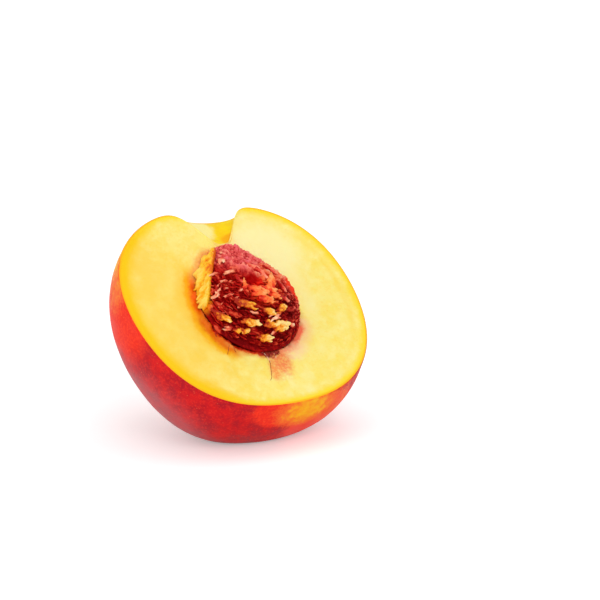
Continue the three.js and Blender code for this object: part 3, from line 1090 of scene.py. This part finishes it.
def tip_tuft(slivers):
    """Dark shreds on the flesh below the stone's pointed end."""
    r = slivers.random
    for share in np.linspace(-1, 1, TUFT_SHREDS):
        x = TUFT_MIDDLE[0] + TUFT_HALF_WIDTH * share
        start = np.array([x, TUFT_MIDDLE[1] - TUFT_SAG * (1 - share**2) + r.uniform(-0.3, 0.3), 0.0])
        away = np.array([TUFT_FAN * share + r.uniform(-0.5, 0.5), -1.0, 0.0])
        slivers.add(
            start, start + away * r.uniform(0.8, 2.2), r.uniform(0.08, 0.18), r.uniform(0.1, 0.25),
            ground=on_face, lift=(0.1, r.uniform(0.0, 0.3)), bend=r.uniform(-0.2, 0.2), rough=0.05,
        )


# Long hairs on the cut face, as routes of (x, y).
DARK_HAIRS = (
    ((-1.8, -17.1), (-2.1, -19.0), (-2.8, -20.9), (-3.6, -22.7), (-4.5, -23.8)),
    ((-11.1, -10.1), (-12.2, -11.6), (-13.3, -13.3)),
    ((-10.4, -11.3), (-10.6, -12.3), (-10.4, -13.2)),
    ((-13.6, -5.9), (-13.9, -7.2)),
)
PALE_HAIRS = (
    ((-2.6, -14.6), (-2.0, -16.1), (-1.8, -18.4)),
    ((0.6, -15.4), (0.9, -16.6), (0.4, -17.6)),
    ((-4.4, -14.4), (-4.7, -15.4), (-4.3, -16.4)),
)


def hairs(slivers, routes, half_width):
    for route in routes:
        for a, b in zip(route, route[1:]):
            slivers.add(
                np.array([*a, 0.0]), np.array([*b, 0.0]), half_width, half_width, ground=on_face,
                lift=(0.1, 0.1), blunt=0.05, point=0.1, rough=0.05,
            )


def stone_fibres(slivers, number):
    """Short shreds all over the stone, lying along its ridges, fewer and flatter near its stem end."""
    r = slivers.random
    while number:
        ball = unit(r.normal(0, 1, 3))
        x, y, _ = stone_point(ball)
        upper = stem_end_share(x, y)
        # There are none on the hidden back and flanks.
        if ball[2] < (0.15 if y < 0 else 0.35) or r.random() < 2.5 * upper:
            continue
        number -= 1
        away = unit(np.array([x, y]) - SWIRL_CENTRE)
        turned = r.normal(0, 0.35)
        direction = math.cos(turned) * np.array([away[1], -away[0]]) + math.sin(turned) * away
        if r.random() < 0.5:
            direction = -direction
        start = stone_front(x, y)
        end = start + np.array([*direction, 0.0]) * r.uniform(1.0, 2.4)
        slivers.add(
            start, end, r.uniform(0.14, 0.30), r.uniform(0.12, 0.26),
            lift=(-0.3, r.uniform(-0.2, 0.2) * (1 - upper)), bend=r.uniform(-0.15, 0.15), sunk=0.3,
            rough=0.06,
        )


FIBRES = 420
DARK_HAIR, PALE_HAIR = 0.05, 0.08         # half widths

# The fused pieces of pulp: their colour, their seed, their lumps and how these are laid.
FUSED_PULP = (
    ("yellow", 11, YELLOW_CLUMPS, Slivers.clump, dict(point=0.35)),
    ("pink", 12, PINK_FLAKES, Slivers.flake, {}),
    ("orange", 13, ORANGE_CLUMPS, Slivers.clump, dict(spread=0.25, point=0.6, blunt=0.1)),
    ("rose", 15, ROSE_CLUMPS, Slivers.clump, dict(spread=0.25)),
)


def pulp():
    """Everything that clings to the stone, as pieces by colour."""
    fused = []
    for colour, seed, lumps, laid, how in FUSED_PULP:
        slivers = Slivers(seed)
        for lump in lumps:
            laid(slivers, *lump, **how)
        name = "pulp_" + colour
        fused.append(slivers.fused(name, pulp_material(name, *PULP_COLOURS[colour])))
    fibres, dark, pale = Slivers(14), Slivers(16), Slivers(17)
    stone_fibres(fibres, FIBRES)
    tip_tuft(dark)
    hairs(dark, DARK_HAIRS, DARK_HAIR)
    hairs(pale, PALE_HAIRS, PALE_HAIR)
    return [
        yellow_strip(pulp_material("pulp_strip", *PULP_COLOURS["strip"])),
        *fused,
        fibres.piece("stone_fibres", fibre_material()),
        dark.piece("dark_shreds", shred_material("dark_shreds", (0.26, 0.018, 0.014), (0.46, 0.05, 0.025))),
        pale.piece("pale_hairs", shred_material("pale_hairs", (0.90, 0.42, 0.28), (0.95, 0.62, 0.45))),
    ]


# ---- camera, floor and light

CAMERA_ELEVATION = math.radians(14)
CAMERA_DISTANCE = 651.4
CLIP_START, CLIP_END = 50.0, 20000.0
FRAME_WIDTH = 166.7          # what the picture shows across, at the cut face
AIM_RIGHT = 14.5             # how far right of the cut face's middle the camera looks
AIM_UP = 1.6
SENSOR = 36.0

# Round lamps: name, place in the part's frame, width, and power in watts. They look at a point in the fruit.
LAMPS = (
    ("key", (250, -800, 500), 600, 1.8),
    ("top", (150, -50, 900), 700, 1.0),
    ("left", (-800, -600, 150), 600, 1.6),
)
LAMPS_AIM = Vector((0, 0, 30))

WORLD_STRENGTH = 0.75
FLOOR_HALF = 3000.0
FLOOR_COLOUR = (0.93, 0.93, 0.93)
# What the camera sees added to the floor near the fruit and far from it, and the distances from the fruit
# between which it grows.
LIFT_NEAR, LIFT_FAR = 0.31, 0.62
LIFT_STARTS, LIFT_ENDS = 80.0, 550.0


def add_looking(name, data, place, direction):
    """Adds a camera or a lamp at a place, looking in a direction."""
    obj = add_object(name, data)
    obj.location = place * MM
    obj.rotation_mode = "QUATERNION"
    obj.rotation_quaternion = direction.to_track_quat("-Z", "Y")
    return obj


def camera():
    middle = Vector(FACE_POSITION)
    back = Vector((0, -math.cos(CAMERA_ELEVATION), math.sin(CAMERA_ELEVATION)))
    up = Vector((0, math.sin(CAMERA_ELEVATION), math.cos(CAMERA_ELEVATION)))
    eye = middle + back * CAMERA_DISTANCE
    target = middle + Vector((1, 0, 0)) * AIM_RIGHT + up * AIM_UP
    data = bpy.data.cameras.new("camera")
    data.sensor_width = SENSOR
    data.lens = SENSOR * CAMERA_DISTANCE / FRAME_WIDTH
    data.clip_start = CLIP_START * MM
    data.clip_end = CLIP_END * MM
    bpy.context.scene.camera = add_looking("camera", data, eye, target - eye)


def lamps():
    for name, place, width, power in LAMPS:
        data = bpy.data.lights.new(name, "AREA")
        data.shape = "DISK"
        data.size = width * MM
        data.energy = power
        add_looking(name, data, Vector(place), LAMPS_AIM - Vector(place))


def camera_ray_share(nodes):
    """1 for what the camera sees, directly or in a reflection, and 0 for what lights the object."""
    rays = nodes.node("LightPath").outputs
    share = nodes.math("MAXIMUM", rays["Is Camera Ray"], rays["Is Glossy Ray"])
    return nodes.math("MAXIMUM", share, rays["Is Transmission Ray"])


def world():
    made = bpy.data.worlds.new("studio")
    bpy.context.scene.world = made
    nodes = Nodes(made)
    strength = nodes.node("Mix")
    for socket, value in zip((0, 2, 3), (camera_ray_share(nodes), WORLD_STRENGTH, 1.0)):
        nodes.put(strength.inputs[socket], value)
    nodes.fill(nodes.tree.nodes["Background"], Color=WHITE, Strength=strength.outputs[0])


def floor():
    """A matt floor. The camera alone sees it lifted towards pure white, more so far from the lamps."""
    material = bpy.data.materials.new("floor")
    nodes = Nodes(material)
    away = nodes.length(nodes.node("TexCoord").outputs["Object"])
    lift = nodes.step(away, LIFT_STARTS * MM, LIFT_ENDS * MM, LIFT_NEAR, LIFT_FAR)
    nodes.fill(
        nodes.tree.nodes["Principled BSDF"], Base_Color=FLOOR_COLOUR, Roughness=1.0, Specular_IOR_Level=0.0,
        Emission_Color=WHITE, Emission_Strength=nodes.times(camera_ray_share(nodes), lift),
    )
    half = FLOOR_HALF * MM
    mesh = bpy.data.meshes.new("floor")
    corners = [(-half, -half, 0), (half, -half, 0), (half, half, 0), (-half, half, 0)]
    mesh.from_pydata(corners, [], [(0, 1, 2, 3)])
    mesh.materials.append(material)
    add_object("floor", mesh)


# ---- the scene

bpy.context.scene.view_settings.view_transform = "Standard"
camera()
world()
floor()
lamps()

half = peach_half(skin_material(), flesh_material())
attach(half, "root")
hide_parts("peach_half")

pit = stone(stone_material())
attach(pit, "root")
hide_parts("stone")

for cling in pulp():
    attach(cling, "root")
